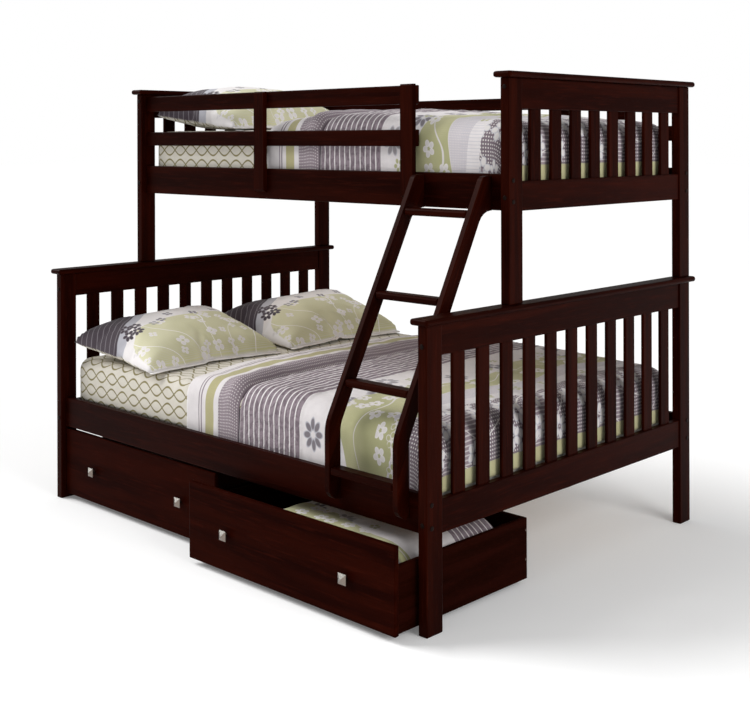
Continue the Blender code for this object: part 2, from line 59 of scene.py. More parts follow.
# Light
SKY_LIGHT, FLOOR_GLOW = 0.37, 0.12
KEY_FROM, KEY_POWER, KEY_SPREAD = (-4.6, -1.9, 4.8), 3.05, 40.0  # its direction, strength and angle
AIM = (0.0, 0.0, 0.8)  # the middle of the bed
FLOOR_REACH = 60.0
SIDE_AT, SIDE_SIZE, SIDE_POWER = (6.0, -0.6, 3.0), (3.0, 3.0), 170

# Bedding, where u is a place along the bed and v one across it
SHEET_THICK, QUILT_THICK = 0.0015, 0.005
MATTRESS_CORNER, MATTRESS_EDGE = 0.050, 0.045  # radii, seen from above and from the side
CORE_INSET, CORE_DROP = 0.003, 0.0045  # how far inside its CAD box a mattress core stays
PIPING_RADIUS = 0.0024
QUILT_CORNER = 0.068
QUILT_EDGE = -0.205  # where a quilt's head edge is at its sides
QUILT_REACH = 0.086  # how much nearer the pillows that edge is along the middle of the bed
SEAM_X, GATHERS_END = 0.088, 0.400  # the gathered part of a quilt
RIB_PITCH = 0.0258  # from one stitched line of it to the next
PIPES, GREEN_BAND, DOTS_FROM = ((-0.137, -0.132), (-0.124, -0.118)), (-0.098, -0.052), -0.026
FIELD, FIELD_V = (0.455, 0.575), -0.60  # where the large flowers grow
LEAF_FROM, LEAF_TO, PETAL_TO, FOOT_FROM = 0.585, 0.735, 0.800, 0.850  # the waving bands after them
HEM_U = 1.052  # where the plain hem starts, down over the foot
STEM = 0.0036  # the width of a printed stem
FRONT_FLOWER = (0.463, -0.748)  # the middle of the large flower that lies on the quilt's front
INFLATE_FRAMES = 30
INFLATE = {"quality": 6, "mass": 0.25, "tension_stiffness": 14.0, "compression_stiffness": 14.0,
           "shear_stiffness": 5.6, "bending_stiffness": 0.6, "use_pressure": True,
           "uniform_pressure_force": 7.0, "air_damping": 4.0}
PILLOW_TILT, PILLOW_PROP = math.radians(6.5), 0.014
# Each pillow's fullness above its rim, and how far its lower right corner is drawn in
PILLOWS = {"lower_pillow_front": (0.124, 0.050), "lower_pillow_rear": (0.124, 0.085),
           "upper_pillow": (0.143, 0.0)}
SHAM_HALF = (0.335, 0.262)  # half the length and height of the printed sham
PILLOW_SEAM_V = -0.259  # below it, a sham is its plain lower border
SHAM_CLUSTER = ((-0.258, -0.018, 0.2), (-0.222, -0.036, 0.9), (-0.238, 0.026, 1.6), (-0.203, 0.010, 0.5))
EYE_LONG, EYE_RISE, EYE_ROWS = 0.073, 0.0210, 0.060  # the sheets' printed lattice
FOLDED_LAYERS, FOLDED_THICK = 4, 0.015  # the stored quilt
CLOTH = "cloth"  # the attribute that holds a cloth's own flat coordinates

# Fastenings
POST_BOLTS = {"lower": (0.839, 0.322), "upper": (1.603, 1.255)}  # heights on the posts' sides
RAIL_BOLTS = {"lower": (0.380, 0.313), "upper": (1.309, 1.242)}  # and on the faces at the bed's ends
RAIL_BOLT_INSET = 0.021
SCREW_SHARES, SCREW_INSET = (0.32, 0.80), 0.007  # up the box, and in from its back
SCREW_SIZE = (0.0032, 0.0010)  # radius, and how far it stands out


def tone(*swatch):
    """A linear colour from the 0 to 255 values of a swatch."""
    shares = [value / 255 for value in swatch]
    return (*(s / 12.92 if s <= 0.04045 else ((s + 0.055) / 1.055) ** 2.4 for s in shares), 1.0)


class Graph:
    """A material's node tree, with short names for the nodes that the materials here are made of."""

    def __init__(self, name, **settings):
        self.material = bpy.data.materials.new(name)
        self.material.use_nodes = True
        self.tree = self.material.node_tree
        self.shader = self.tree.nodes["Principled BSDF"]
        self.fill(self.shader, **settings)

    def put(self, socket, value):
        if isinstance(value, bpy.types.NodeSocket):
            self.tree.links.new(value, socket)
        else:
            socket.default_value = value

    def fill(self, node, **values):
        """Sets or links a node's inputs, named with _ for a space. None skips one."""
        for name, value in values.items():
            if value is not None:
                self.put(node.inputs[name.replace("_", " ")], value)
        return node

    def add(self, kind, *values, **settings):
        """A new node with these settings, its first inputs filled with values."""
        node = self.tree.nodes.new(kind)
        for key, value in settings.items():
            setattr(node, key, value)
        for socket, value in zip(node.inputs, values):
            self.put(socket, value)
        return node

    def math(self, operation, *values):
        return self.add("ShaderNodeMath", *values, operation=operation).outputs[0]

    times, plus = partialmethod(math, "MULTIPLY"), partialmethod(math, "ADD")
    minus, over = partialmethod(math, "SUBTRACT"), partialmethod(math, "DIVIDE")
    sine, size = partialmethod(math, "SINE"), partialmethod(math, "ABSOLUTE")
    power = partialmethod(math, "POWER")

    def length(self, x, y):
        return self.math("SQRT", self.plus(self.times(x, x), self.times(y, y)))

    def repeat(self, value, spacing):
        """The place within a repeat, from -0.5 to 0.5."""
        return self.minus(self.math("FRACT", self.over(value, spacing)), 0.5)

    def vector(self, operation, *values):
        return self.add("ShaderNodeVectorMath", *values, operation=operation).outputs[0]

    def position(self):
        return self.add("ShaderNodeTexCoord").outputs["Object"]

    def cloth(self):
        return self.add("ShaderNodeAttribute", attribute_name=CLOTH).outputs["Vector"]

    def split(self, vector):
        return self.add("ShaderNodeSeparateXYZ", vector).outputs[:3]

    def join(self, x, y, z=0.0):
        return self.add("ShaderNodeCombineXYZ", x, y, z).outputs[0]

    def noise(self, vector, scale, detail=2.0, distortion=0.0):
        node = self.add("ShaderNodeTexNoise")
        self.fill(node, Vector=vector, Scale=scale, Detail=detail, Distortion=distortion)
        return node.outputs["Fac"]

    def step(self, low, high, value):
        """0 below low, 1 above high, smooth between."""
        node = self.add("ShaderNodeMapRange", interpolation_type="SMOOTHSTEP")
        return self.fill(node, Value=value, From_Min=low, From_Max=high).outputs["Result"]

    def below(self, value, limit, soft):
        return self.minus(1.0, self.step(limit - soft, limit + soft, value))

    def band(self, value, low, high, soft=0.001):
        """1 from low to high."""
        rise = self.step(low - soft, low + soft, value)
        return self.minus(rise, self.step(high - soft, high + soft, value))

    def both(self, *masks):
        """The product of all the masks."""
        made = masks[0]
        for mask in masks[1:]:
            made = self.times(made, mask)
        return made

    def blend(self, share, first, second, kind="FLOAT"):
        """The number, VECTOR or RGBA first, with second put over it by share."""
        node = self.add("ShaderNodeMix", share, data_type=kind)
        slot, out = {"FLOAT": (2, 0), "VECTOR": (4, 1), "RGBA": (6, 2)}[kind]
        self.put(node.inputs[slot], first)
        self.put(node.inputs[slot + 1], second)
        return node.outputs[out]

    def mix(self, share, first, second):
        return self.blend(share, first, second, "RGBA")

    def coats(self, colour, *coats):
        """The colour with each coat, a share and a paint, put over it in turn."""
        for share, paint in coats:
            colour = self.mix(share, colour, paint)
        return colour

    def dots(self, u, v, spacing, radius):
        """Round dots on a square grid."""
        away = self.length(self.repeat(u, spacing), self.repeat(v, spacing))
        return self.below(away, radius / spacing, 0.06)

    def flower(self, x, y, turn, petals, radius):
        """A flower of round petals at the origin. Gives 1 on a petal, and how far out in it."""
        sector = 2 * math.pi / petals
        turned = self.plus(self.math("ARCTAN2", y, x), turn)
        angle = self.times(self.repeat(turned, sector), sector)
        away, ring, half = self.length(x, y), radius * 0.60, radius * 0.40
        out = self.over(self.minus(self.times(away, self.math("COSINE", angle)), ring), half)
        aside = self.over(self.times(away, self.sine(angle)), min(ring * math.sin(sector / 2), half))
        reach = self.length(out, aside)
        return self.below(reach, 1.0, 0.1), reach

    def petals(self, colour, share, reach, paint, rim):
        """Petals painted over the colour, each edged with rim."""
        petal = self.mix(self.step(0.62, 0.95, reach), paint, rim)
        return self.mix(share, colour, petal)

    def bloom(self, colour, region, paint, rim, place, spacing, count, radius, share, seed=0.0):
        """Flowers at scattered spots, painted where region(u, v) of their middles is 1, or everywhere."""
        offset = (seed, seed * 1.7, 0.0)
        moved = self.vector("ADD", place, offset)
        node = self.add("ShaderNodeTexVoronoi", voronoi_dimensions="2D")
        self.fill(node, Vector=moved, Scale=1 / spacing, Randomness=0.6)
        x, y, _ = self.split(self.vector("SUBTRACT", moved, node.outputs["Position"]))
        chance, turn, _ = self.split(node.outputs["Color"])
        mask, reach = self.flower(x, y, self.times(turn, 6.0), count, radius)
        mask = self.times(mask, self.below(chance, share, 0.001))
        if region is not None:
            u, v, _ = self.split(self.vector("SUBTRACT", node.outputs["Position"], offset))
            mask = self.times(mask, region(u, v))
        return self.petals(colour, mask, reach, paint, rim)

    def lines(self, value, spacing, width, soft=0.0006):
        """Lines of this width, one each spacing."""
        from_middle = self.size(self.repeat(value, spacing))
        return self.below(from_middle, width / 2 / spacing, soft / spacing)

    def finish(self, colour, roughness=None, height=None, distance=0.001):
        """The finished material. distance is how far height raises it."""
        normal = None
        if height is not None:
            normal = self.fill(self.add("ShaderNodeBump"), Height=height, Distance=distance).outputs[0]
        self.fill(self.shader, Base_Color=colour, Roughness=roughness, Normal=normal)
        return self.material


# Wood ----------

ESPRESSO = (tone(24, 3, 1), tone(38, 7, 2), tone(58, 17, 8))
PINE = (tone(176, 132, 84), tone(205, 165, 112), tone(222, 190, 142))
RUBBER = tone(28, 28, 30)
ALONG, ACROSS = 1.3, 22.0  # how many times a metre the figure of the wood repeats
PANEL_RAILS = {"lower": (0.0917, 0.100), "upper": (0.0977, 0.094)}  # heights of the top and bottom rail
GUARD_UPRIGHT = 0.018  # the thickness of the rear guard's uprights
LADDER_LEAN = 0.5257  # how far the ladder leans towards +Y for each metre up
STRAP = 0.0019  # the thickness of a slat base's straps
SLATS_EACH_METRE = 7.6
BED_GLOSS, FRONT_GLOSS, BOARD_GLOSS = 0.022, 0.008, 0.006


def stretched(g, axis):
    """Coordinates with the grain along an axis."""
    return g.vector("MULTIPLY", g.position(), tuple(ALONG if way == axis else ACROSS for way in "XYZ"))


def along(axis):
    return lambda g: stretched(g, axis)


def ladder_grain(g):
    x, y, z = g.split(g.position())
    cosine, sine = math.cos(math.atan(LADDER_LEAN)), math.sin(math.atan(LADDER_LEAN))
    up = g.plus(g.times(z, cosine), g.times(y, sine))
    aside = g.minus(g.times(y, cosine), g.times(z, sine))
    return g.join(g.times(x, ACROSS), g.times(aside, ACROSS), g.times(up, ALONG))


def lacquered(g, grain, seed, tones=ESPRESSO):
    """Colour, sheen and open pores of stained wood, from coordinates stretched along the grain."""
    dark, middle, light = tones
    moved = g.vector("ADD", grain, (seed * 3.1, seed * 5.7, seed * 1.9))
    figure = g.noise(moved, 0.8, 4.0, 0.7)
    streaks = g.noise(moved, 7.0, 3.0, 0.3)
    pores = g.noise(moved, 28.0, 2.0)
    pits = g.step(0.58, 0.72, pores)
    colour = g.coats(dark, (g.step(0.36, 0.66, figure), middle),
                     (g.times(g.step(0.50, 0.80, streaks), 0.42), light), (g.times(pits, 0.45), dark))
    roughness = g.plus(g.plus(g.times(streaks, 0.12), 0.30), g.times(pits, 0.10))
    height = g.minus(g.times(streaks, 0.5), g.step(0.60, 0.74, pores))
    return g.finish(colour, roughness, height, 0.00012)


def panel_grain(name):
    """Grain along Y in an end panel's two rails, and along Z in the slats between."""
    low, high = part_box(name)
    top_rail, bottom_rail = PANEL_RAILS[name.split("_")[0]]

    def build(g):
        z = g.split(g.position())[2]
        in_slats = g.band(z, low.z + bottom_rail, high.z - top_rail, 0.0002)
        return g.blend(in_slats, stretched(g, "Y"), stretched(g, "Z"), "VECTOR")
    return build


def rear_guard_grain(g):
    """Grain along X in the rear guard's boards, and along Z in its uprights."""
    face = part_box("rear_guard")[1].y - GUARD_UPRIGHT
    in_uprights = g.step(face - 0.0002, face + 0.0002, g.split(g.position())[1])
    return g.blend(in_uprights, stretched(g, "X"), stretched(g, "Z"), "VECTOR")


def pine_base(name):
    """Loose pine slats, with the webbing straps below them."""
    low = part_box(name)[0]
    g = Graph(name + "_finish", Roughness=0.62)
    x, y, z = g.split(g.position())
    slat = g.math("FLOOR", g.times(x, SLATS_EACH_METRE))
    shifted = g.vector("ADD", stretched(g, "Y"), g.join(g.times(slat, 4.3), 0.0, 0.0))
    material = lacquered(g, shifted, 2.0, PINE)
    wood_colour = g.shader.inputs["Base Color"].links[0].from_socket
    woven = g.step(-0.2, 0.6, weave(g, x, y, 2 * math.pi / 2600))
    webbing = g.mix(woven, tone(150, 148, 142), tone(206, 204, 196))
    in_strap = g.below(z, low.z + STRAP, 0.00005)
    g.put(g.shader.inputs["Base Color"], g.mix(in_strap, wood_colour, webbing))
    return material


def drawer_board():
    """The stained board of the drawer boxes: duller than the fronts, with a paper-foil grain."""
    g = Graph("drawer_board_finish", Specular_IOR_Level=BOARD_GLOSS, Specular_Tint=tone(225, 140, 115))
    run = g.vector("MULTIPLY", g.position(), (2.0, 2.0, 30.0))
    figure = g.noise(run, 1.0, 4.0, 0.5)
    fleck = g.noise(run, 22.0, 2.0)
    colour = g.coats(tone(22, 4, 1), (g.step(0.35, 0.7, figure), tone(34, 8, 4)),
                     (g.times(g.step(0.56, 0.74, fleck), 0.35), tone(54, 20, 11)))
    return g.finish(colour, g.plus(g.times(fleck, 0.15), 0.42), fleck, 0.00008)


def nickel():
    """Brushed nickel, with fine scratches across, and painted shade with a warm painted reflection on the
    faces turned away from the light.
    """
    g = Graph("brushed_nickel_finish", Metallic=1.0)
    brush = g.noise(g.vector("MULTIPLY", g.position(), (60.0, 60.0, 2400.0)), 1.0, 3.0)
    cloudy = g.noise(g.position(), 90.0, 2.0)
    x, _, z = g.split(g.add("ShaderNodeNewGeometry").outputs["True Normal"])
    away = g.minus(g.times(x, 0.6), z)  # from the upper left, where the light is
    # The last coat is painted shade and a warm painted reflection, on faces turned away from the upper left
    # light.
    colour = g.coats(tone(176, 172, 165), (brush, tone(222, 219, 212)),
                     (g.times(g.step(0.5, 0.8, cloudy), 0.3), tone(150, 144, 136)),
                     (g.times(g.step(-0.35, 0.35, away), 0.8), tone(96, 78, 66)))
    return g.finish(colour, g.plus(g.times(brush, 0.2), 0.17), brush, 0.00004)


def tyre(name):
    """Scuffed dark rubber."""
    g = Graph(name, Specular_IOR_Level=0.4)
    scuffs = g.noise(g.position(), 60.0, 3.0, 1.0)
    worn = tuple(channel * 2.2 + 0.01 for channel in RUBBER[:3]) + (1.0,)
    painted = g.mix(g.times(g.step(0.52, 0.75, scuffs), 0.5), RUBBER, worn)
    grainy = g.noise(g.position(), 900.0, 2.0)
    return g.finish(painted, g.plus(g.times(scuffs, 0.2), 0.42), grainy, 0.00006)


# Cloth ----------

WHITE, SHADOW_WHITE = tone(232, 227, 227), tone(216, 210, 211)
OLIVE, GREEN, LEAF = tone(178, 171, 128), tone(194, 191, 150), tone(174, 173, 130)
PETAL = tone(202, 196, 201)
SHAM_WHITE, SHAM_SHADE = tone(247, 243, 242), tone(236, 231, 230)
SHAM_GREEN, SHAM_LEAF = tone(222, 219, 176), tone(206, 203, 156)
LAVENDER, MAUVE, PLUM = tone(190, 189, 197), tone(140, 126, 134), tone(98, 84, 93)
BLOSSOM_GREY, PALE, NIGHT = tone(124, 117, 123), tone(220, 215, 213), tone(72, 62, 70)


def cloth_graph(name, roughness=0.85):
    return Graph(name, Roughness=roughness, Specular_IOR_Level=0.2, Sheen_Weight=0.15, Sheen_Roughness=0.5)


def weave(g, u, v, pitch=0.0011):
    """Height of a plain weave."""
    turns = 2 * math.pi / pitch
    return g.times(g.sine(g.times(u, turns)), g.sine(g.times(v, turns)))


def stems(g, along_stem, across_stem, spacing):
    """Thin stems that sway as they grow."""
    sway = g.noise(g.join(along_stem, g.times(across_stem, 0.6)), 2.6, 1.0)
    swayed = g.plus(across_stem, g.times(sway, 0.55))
    return g.lines(swayed, spacing, STEM)


def quilt_cover():
    """The quilt's printed bands, from its head edge to its foot hem, with painted shade in the puckers of
    the gathers and in the seam's crease. u is distance along the bed.
    """
    g = cloth_graph("quilt_cover_print")
    flat_u, v, _ = g.split(g.cloth())
    in_gathers = g.band(flat_u, SEAM_X, GATHERS_END + 0.005, 0.012)
    shake = g.noise(g.join(g.times(flat_u, 10.0), g.times(v, 22.0)), 1.0, 1.0)
    u = g.plus(flat_u, g.times(g.minus(shake, 0.5), g.blend(in_gathers, 0.002, 0.006)))
    place = g.join(u, v)
    wander = g.times(g.sine(g.plus(g.times(v, 7.4), 2.2)), 0.050)
    drift = g.times(g.sine(g.plus(g.times(v, 9.6), 1.3)), 0.030)

    colour = g.mix(g.noise(place, 40.0, 3.0), WHITE, SHADOW_WHITE)
    for low, high in PIPES:
        colour = g.mix(g.band(u, low, high), colour, MAUVE)
    dotted = g.mix(g.dots(u, v, 0.0088, 0.0018), MAUVE, PALE)
    pucker = g.noise(g.join(g.times(u, 0.9), v), 58.0, 1.0)
    # The plum blotches are painted shade in the puckers, where the same noise dents the cloth.
    lined = g.coats(MAUVE, (g.times(g.step(0.42, 0.66, pucker), 0.60), PLUM),
                    (g.lines(u, RIB_PITCH, 0.0050, 0.0010), WHITE))
    # The NIGHT band at SEAM_X is painted shade in the seam's crease.
    colour = g.coats(colour, (g.band(u, *GREEN_BAND), OLIVE), (g.band(u, DOTS_FROM, SEAM_X), dotted),
                     (g.band(u, SEAM_X, GATHERS_END), lined),
                     (g.band(u, SEAM_X - 0.006, SEAM_X + 0.003, 0.002), NIGHT))

    def in_field(u, v):
        return g.both(g.band(u, *FIELD, 0.004), g.step(FIELD_V, FIELD_V + 0.01, v))

    def inside(low, high):
        return g.both(g.step(0.0, 0.002, g.minus(u, low)), g.step(0.0, 0.002, g.minus(high, u)))

    colour = g.bloom(colour, in_field, BLOSSOM_GREY, LAVENDER, place, 0.120, 8, 0.046, 0.60, 0.30)
    colour = g.bloom(colour, in_field, LEAF, PALE, place, 0.080, 5, 0.022, 0.30, 5.2)
    front_u, front_v = FRONT_FLOWER
    mask, reach = g.flower(g.minus(u, front_u), g.minus(v, front_v), 0.3, 8, 0.047)
    colour = g.petals(colour, mask, reach, BLOSSOM_GREY, LAVENDER)
    leaf_to = g.plus(g.plus(LEAF_TO, drift), g.times(g.below(v, -0.66, 0.04), 0.06))
    in_leaf = inside(g.plus(LEAF_FROM, wander), leaf_to)
    mottle = g.step(0.4, 0.6, g.noise(place, 5.0, 1.0))
    leaf = g.coats(GREEN, (mottle, LEAF), (g.times(g.dots(u, v, 0.0060, 0.0016), 0.45), OLIVE))
    leaf = g.bloom(leaf, None, PALE, WHITE, place, 0.070, 5, 0.026, 0.46, 3.1)
    in_petal = inside(leaf_to, g.plus(PETAL_TO, g.times(wander, 0.4)))
    speckled = g.mix(g.dots(u, v, 0.0070, 0.0016), PETAL, PALE)
    hatch = g.times(g.both(g.lines(v, 0.010, 0.0022), g.band(u, 0.76, 0.855)), 0.6)
    colour = g.coats(colour, (in_petal, speckled), (hatch, LAVENDER), (in_leaf, leaf),
                     (g.both(g.band(u, 0.50, 0.86), stems(g, v, u, 0.17)), PALE))
    colour = g.bloom(colour, lambda u, v: g.band(u, 0.79, 0.85, 0.004), LEAF, PALE,
                     place, 0.060, 5, 0.024, 0.60, 8.8)

    patch = g.sine(g.plus(g.plus(g.times(v, 15.0), g.times(u, 7.0)), 2.8))
    ruled = g.mix(g.times(g.lines(u, 0.0125, 0.0040), 0.7), MAUVE, PALE)
    night = g.coats(g.mix(0.4, PLUM, MAUVE), (g.dots(u, v, 0.0105, 0.0026), PALE),
                    (g.step(0.50, 0.53, patch), ruled))
    night = g.bloom(night, None, PALE, LAVENDER, place, 0.085, 6, 0.038, 0.62, 6.4)
    night = g.mix(stems(g, v, u, 0.11), night, PALE)
    foot_from = g.plus(FOOT_FROM, g.times(wander, 0.35))
    hem = g.mix(g.noise(place, 9.0, 2.0), OLIVE, GREEN)
    colour = g.coats(colour, (g.step(0.0, 0.002, g.minus(u, foot_from)), night),
                     (g.step(HEM_U, HEM_U + 0.002, u), hem))

    creases = g.noise(g.join(g.times(u, 0.5), v), 60.0, 3.0, 0.6)
    height = g.plus(g.times(creases, g.blend(in_gathers, 0.5, 2.0)), g.times(weave(g, u, v), 0.06))
    height = g.plus(height, g.times(g.both(g.step(0.46, 0.60, pucker), in_gathers), -0.9))
    return g.finish(colour, g.blend(creases, 0.78, 0.92), height, 0.0018)


def pillow_print():
    """A sham's print. u runs from its left end, and v up from its lower edge."""
    g = cloth_graph("pillow_cover_print")
    u, v, underside = g.split(g.cloth())
    place = g.join(u, v)

    def leaf_ring(u, v):
        """1 on the edge of the green field, less inside it."""
        right = g.over(g.minus(u, 0.30), 0.60)
        up = g.over(g.plus(v, 0.30), 0.31)
        ring = g.plus(g.power(right, 4.0), g.power(up, 4.0))
        return g.plus(g.power(ring, 0.25), g.times(g.noise(g.join(u, v), 5.0, 0.0), 0.07))

    def from_corner(u, v):
        """Distance past the dark upper left corner."""
        bow = g.times(g.power(g.plus(u, 0.14), 2.0), 0.9)
        end = g.minus(g.times(u, 0.62), g.times(v, 0.78))
        return g.plus(end, g.plus(bow, 0.174))

    def on_rim(u, v):
        return g.both(g.band(leaf_ring(u, v), 1.03, 1.26, 0.01), g.step(0.095, 0.105, from_corner(u, v)),
                      g.step(-0.13, -0.12, v))

    ring, end = leaf_ring(u, v), from_corner(u, v)
    colour = g.mix(g.noise(place, 30.0, 3.0), SHAM_WHITE, SHAM_SHADE)
    weft = g.lines(v, 0.0062, 0.0024)
    leaf = g.coats(SHAM_GREEN, (g.step(0.4, 0.6, g.noise(place, 5.0, 1.0)), SHAM_LEAF),
                   (g.times(weft, 0.50), PALE), (stems(g, v, u, 0.125), SHAM_WHITE))
    for spacing, radius, share, seed in ((0.078, 0.026, 0.42, 1.3), (0.060, 0.018, 0.36, 4.4)):
        leaf = g.bloom(leaf, None, SHAM_SHADE, SHAM_WHITE, place, spacing, 4, radius, share, seed)
    inside = g.below(ring, 1.06, 0.004)
    colour = g.mix(inside, colour, leaf)
    colour = g.bloom(colour, on_rim, BLOSSOM_GREY, LAVENDER, place, 0.056, 4, 0.021, 0.80, 7.1)
    lined = g.mix(g.lines(end, 0.0225, 0.0034, 0.0008), NIGHT, BLOSSOM_GREY)
    colour = g.coats(colour, (g.band(end, -0.01, 0.035, 0.002), LAVENDER),
                     (g.below(end, 0.0, 0.002), lined))
    for flower_u, flower_v, turn in SHAM_CLUSTER:
        mask, reach = g.flower(g.minus(u, flower_u), g.minus(v, flower_v), turn, 6, 0.027)
        colour = g.petals(colour, mask, reach, NIGHT, BLOSSOM_GREY)
    colour = g.coats(colour, (g.below(v, PILLOW_SEAM_V, 0.002), SHAM_WHITE), (underside, lattice(g, u, v)))

    creases = g.noise(place, 34.0, 3.0, 0.4)
    height = g.plus(g.times(creases, 0.35), g.times(weave(g, u, v), 0.06))
    height = g.plus(height, g.times(g.both(weft, inside), 0.12))
    return g.finish(colour, g.blend(creases, 0.78, 0.92), height, 0.0014)


def lattice(g, u, v):
    """Rows of eyes, each row two mirrored waves that cross where the eyes meet."""
    from_row = g.size(g.times(g.repeat(g.plus(v, EYE_ROWS / 2), EYE_ROWS), EYE_ROWS))
    wave = g.size(g.sine(g.times(u, math.pi / EYE_LONG)))
    apart = g.size(g.minus(from_row, g.times(wave, EYE_RISE)))
    ground = g.mix(g.noise(g.join(u, v), 50.0, 2.0), tone(226, 221, 209), tone(210, 203, 192))
    ink = g.mix(g.noise(g.join(u, v), 35.0, 2.0), tone(116, 106, 66), tone(148, 138, 92))
    fine = g.times(g.lines(u, 0.0050, 0.0012), 0.16)
    return g.mix(g.below(apart, 0.0036, 0.0010), g.mix(fine, ground, ink), ink)


def sheet_print():
    g = cloth_graph("fitted_sheet_print", 0.8)
    u, v, _ = g.split(g.cloth())
    creases = g.noise(g.join(u, v), 26.0, 3.0, 0.8)
    height = g.plus(g.times(creases, 0.25), g.times(weave(g, u, v), 0.05))
    return g.finish(lattice(g, u, v), g.blend(creases, 0.74, 0.88), height, 0.0014)


def ticking():
    """The mattress's own cover: white, quilted in diamonds, with a thin grey stripe."""
    g = cloth_graph("mattress_cover_ticking")
    x, y, _ = g.split(g.position())
    ways = (g.plus(x, y), g.minus(x, y))
    channels = g.math("MAXIMUM", *(g.lines(way, 0.085, 0.003, 0.002) for way in ways))
    colour = g.mix(g.noise(g.position(), 30.0, 3.0), tone(226, 224, 216), tone(208, 206, 198))
    colour = g.mix(g.times(g.lines(x, 0.05, 0.004), 0.6), colour, tone(150, 152, 158))
    height = g.minus(g.times(weave(g, x, y), 0.05), channels)
    return g.finish(colour, 0.85, height, 0.002)


def piping_cloth():
    g = cloth_graph("piping_cloth")
    twist = g.noise(g.vector("MULTIPLY", g.position(), (400.0, 400.0, 900.0)), 1.0, 2.0)
    return g.finish(g.mix(twist, tone(196, 194, 184), tone(222, 220, 210)), 0.8, twist, 0.0003)


# Building pieces ----------

def add_object(name, data):
    """A new object in the scene."""
    made = bpy.data.objects.new(name, data)
    scene.collection.objects.link(made)
    return made


def mesh_piece(name, points, faces, material, flat=None, body="bed_frame"):
    """A smooth mesh that rides on a body. flat holds each point's own coordinates on the cloth."""
    mesh = bpy.data.meshes.new(name)
    mesh.from_pydata([tuple(point) for point in points], [], faces)
    if flat is not None:
        values = mesh.attributes.new(CLOTH, "FLOAT_VECTOR", "POINT").data
        values.foreach_set("vector", [number for spot in flat for number in spot])
    mesh.materials.append(material)
    mesh.shade_smooth()
    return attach(add_object(name, mesh), body)


def settle(piece):
    """Makes what the piece's modifiers do into its mesh."""
    graph = bpy.context.evaluated_depsgraph_get()
    mesh = bpy.data.meshes.new_from_object(piece.evaluated_get(graph), depsgraph=graph)
    piece.modifiers.clear()
    piece.data = mesh
    return piece


def thicken(piece, thickness, offset):
    solid = piece.modifiers.new("Thickness", "SOLIDIFY")
    solid.thickness = thickness
    solid.offset = offset
    return settle(piece)


def between(stops, x):
    """The value at x on a smooth curve through (x, value) stops."""
    if x <= stops[0][0]:
        return stops[0][1]
    for (x0, a), (x1, b) in zip(stops, stops[1:]):
        if x <= x1:
            share = (x - x0) / (x1 - x0)
            return a + (b - a) * share * share * (3 - 2 * share)
    return stops[-1][1]


def ripple(x, y, size, seed=0.0):
    """Smooth unevenness from -1 to 1, with this many metres from one bump to the next."""
    return noise.noise(Vector((x / size, y / size, seed)))


def wrap(name, x_range, y_range, heights, corner, shoulder, steps, lift, push, open_head, material):
    """A cloth over a mattress: a grid on top, and skirts at its sides round a quarter circle.

    heights are those of the mattress's top and the skirt's edge, corner the radius seen from above,
    and shoulder gives the quarter circle's radius. lift gives the height above the mattress and push
    the distance out of a skirt, from the flat coordinates. An open head has no skirt at -X.
    """
    top, skirt_z = heights
    step_x, step_y, step_down = steps
    x_low = x_range[0] if open_head else x_range[0] + corner
    x_high, y_low, y_high = x_range[1] - corner, y_range[0] + corner, y_range[1] - corner
    columns = round((x_high - x_low) / step_x)
    rows = round((y_high - y_low) / step_y)
    points, flat, faces = [], [], []
    for i in range(columns + 1):
        x = x_low + (x_high - x_low) * i / columns
        for j in range(rows + 1):
            y = y_low + (y_high - y_low) * j / rows
            points.append(Vector((x, y, top + lift(x, y))))
            flat.append((x, y, 0.0))

    def at(i, j):
        return i * (rows + 1) + j

    for i in range(columns):
        for j in range(rows):
            faces.append((at(i, j), at(i + 1, j), at(i + 1, j + 1), at(i, j + 1)))

    edges = [([at(i, 0) for i in range(columns + 1)], -90), ([at(columns, j) for j in range(rows + 1)], 0),
             ([at(i, rows) for i in range(columns, -1, -1)], 90)]
    if not open_head:
        edges.append(([at(0, j) for j in range(rows, -1, -1)], 180))
    strands, turns = [], 10
    for chain, degrees in edges:
        strands += [(index, degrees) for index in chain]
        if degrees != 90 or not open_head:
            strands += [(chain[-1], degrees + 90 * turn / turns) for turn in range(1, turns)]
    fall = top - skirt_z
    rings = round((fall + corner) / step_down)
    before = [index for index, _ in strands]
    for k in range(1, rings + 1):
        ring = []
        for index, degrees in strands:
            heading = math.radians(degrees)
            normal = Vector((math.cos(heading), math.sin(heading), 0.0))
            start = points[index]
            radius = shoulder(start.x)
            level_run, arc = corner - radius, math.pi * radius / 2
            run = (level_run + arc + fall - radius) * k / rings
            bent = min(max(0.0, run - level_run), arc) / radius
            out = min(run, level_run) + radius * math.sin(bent)
            down = radius * (1 - math.cos(bent)) + max(0.0, run - level_run - arc)
            share = down / fall
            spot = Vector((start.x, start.y, 0.0)) + normal * min(run, level_run)
            high = top + lift(spot.x, spot.y)
            u, v = flat[index][0] + normal.x * run, flat[index][1] + normal.y * run
            pushed = push(u, v, min(1.0, max(0.0, run - level_run) / arc), share)
            edge = Vector((start.x, start.y, high - share * (high - skirt_z)))
            points.append(edge + normal * (out + pushed))
            flat.append((u, v, 0.0))
            ring.append(len(points) - 1)
        pairs = list(zip(before, ring))
        if not open_head:
            pairs.append(pairs[0])
        for (a, b), (c, d) in zip(pairs, pairs[1:]):
            faces.append((a, b, d) if a == c else (a, b, d, c))
        before = ring
    return mesh_piece(name, points, faces, material, flat)


# Lights, floor and camera ----------

def lamp(name, kind, at):
    """A lamp at a place, pointing at the middle of the bed."""
    data = bpy.data.lights.new(name, kind)
    made = add_object(name, data)
    made.location = at
    made.rotation_euler = (Vector(AIM) - Vector(at)).to_track_quat("-Z", "Y").to_euler()
    return data


